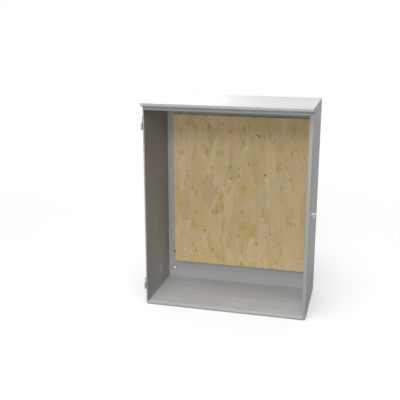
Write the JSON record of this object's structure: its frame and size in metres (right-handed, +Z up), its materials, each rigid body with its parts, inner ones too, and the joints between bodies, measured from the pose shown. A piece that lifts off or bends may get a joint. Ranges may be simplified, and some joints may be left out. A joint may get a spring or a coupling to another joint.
{
  "type": "steel wall enclosure",
  "caption": "Open-front sheet steel wall box with a drip-shield roof, strand-board equipment backboard, side hinges for a wrap-around door, a latch bracket and conduit knockouts.",
  "frame": {"origin": "centre of the base: mid-width, half way between the front flanges and the back panel's outer face, on the underside", "axes": "+X to the viewer's right, which is the latch side; +Y from the open front towards the wall; +Z up"},
  "size_m": [0.6337, 0.323, 0.776],
  "materials": {
    "painted_steel": "light grey polyester powder coat, satin",
    "strand_board": "bare oriented strand board, sanded, strands mostly upright, dark specks of bark",
    "zinc_plated_steel": "bright zinc plate, slightly dulled"
  },
  "bodies": {
    "box": {"wrapper": "painted_steel", "back_panel": "painted_steel", "roof": "painted_steel", "header": "painted_steel", "backboard": "strand_board", "board_studs": "zinc_plated_steel", "board_spacers": "zinc_plated_steel", "board_washers": "zinc_plated_steel", "board_nuts": "zinc_plated_steel", "upper_hinge_body_leaf": "painted_steel", "upper_hinge_pin": "zinc_plated_steel", "lower_hinge_body_leaf": "painted_steel", "lower_hinge_pin": "zinc_plated_steel", "latch_bracket": "painted_steel", "latch_rivet_nut": "zinc_plated_steel", "left_knockout_ring": "painted_steel", "left_knockout_slug": "painted_steel", "right_knockout_ring": "painted_steel", "right_knockout_slug": "painted_steel"},
    "upper_door_leaf": {"upper_hinge_door_leaf": "zinc_plated_steel"},
    "lower_door_leaf": {"lower_hinge_door_leaf": "zinc_plated_steel"}
  },
  "joints": [
    {"name": "upper_hinge_swing", "type": "hinge", "parent": "box", "child": "upper_door_leaf", "pos_m": [-0.3064, -0.1529, 0.71457], "axis": [0, 0, 1], "range_deg": [0, 180]},
    {"name": "lower_hinge_swing", "type": "hinge", "parent": "box", "child": "lower_door_leaf", "pos_m": [-0.3064, -0.1529, 0.10257], "axis": [0, 0, 1], "range_deg": [0, 180]}
  ]
}
